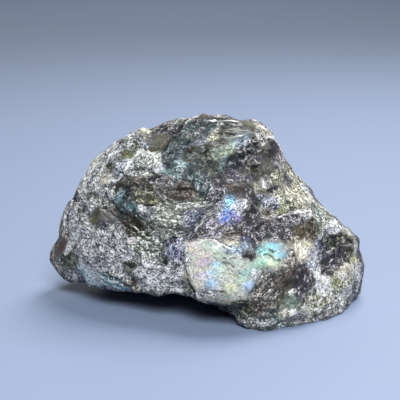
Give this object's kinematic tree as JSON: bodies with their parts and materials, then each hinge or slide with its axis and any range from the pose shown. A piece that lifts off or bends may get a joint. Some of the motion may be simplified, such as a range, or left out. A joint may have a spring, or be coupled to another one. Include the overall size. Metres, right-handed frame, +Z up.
{
  "type": "rough labradorite chunk",
  "caption": "Rough, broken chunk of coarse-grained labradorite rock, longer than high, that rests on a flat fracture face with its left end clear of the surface.",
  "frame": {"origin": "on the ground plane, under the middle of the chunk's bounding box", "axes": "+X along the chunk's length towards its lower end, +Y away from its front, +Z up"},
  "size_m": [0.1146, 0.0734, 0.067],
  "materials": {
    "labradorite": "rough broken feldspar, speckled dark grey-green, brown and pale grey with glinting cleavage and blue-green flashes"
  },
  "bodies": {
    "root": {"labradorite_chunk": "labradorite"}
  },
  "joints": []
}
